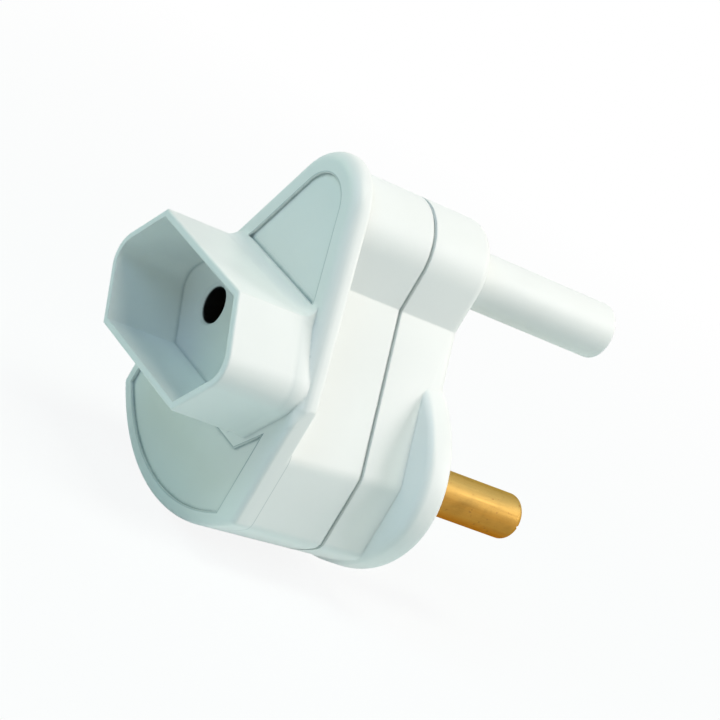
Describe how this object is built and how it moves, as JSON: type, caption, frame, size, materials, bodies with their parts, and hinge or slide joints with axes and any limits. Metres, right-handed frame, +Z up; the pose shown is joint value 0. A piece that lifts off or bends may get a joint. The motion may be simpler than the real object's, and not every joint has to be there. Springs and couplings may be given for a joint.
{
  "type": "plug adapter",
  "caption": "Plug adapter with a two pin socket in a long hexagonal shroud on the front and a plug with three round pins and a finger guard behind",
  "frame": {"origin": "on the flat rear face, midway between the two current pins", "axes": "+X to the line pin, +Y out along the pins, +Z up to the earth pin"},
  "size_m": [0.0518, 0.0688, 0.0575],
  "materials": {
    "shell": "satin moulded white plastic",
    "earth_plastic": "satin moulded white plastic",
    "pin_brass": "turned brass, worn along its length",
    "strip_brass": "pressed brass strip",
    "clip_steel": "spring steel",
    "screw_steel": "zinc plated steel"
  },
  "bodies": {
    "root": {"front_shell": "shell", "rear_shell": "shell", "earth_pin": "earth_plastic", "line_pin": "pin_brass", "neutral_pin": "pin_brass", "line_strap": "strip_brass", "neutral_strap": "strip_brass", "line_contact": "strip_brass", "neutral_contact": "strip_brass", "line_spring": "clip_steel", "neutral_spring": "clip_steel", "contact_rivets": "strip_brass", "case_screws": "screw_steel"}
  },
  "joints": []
}
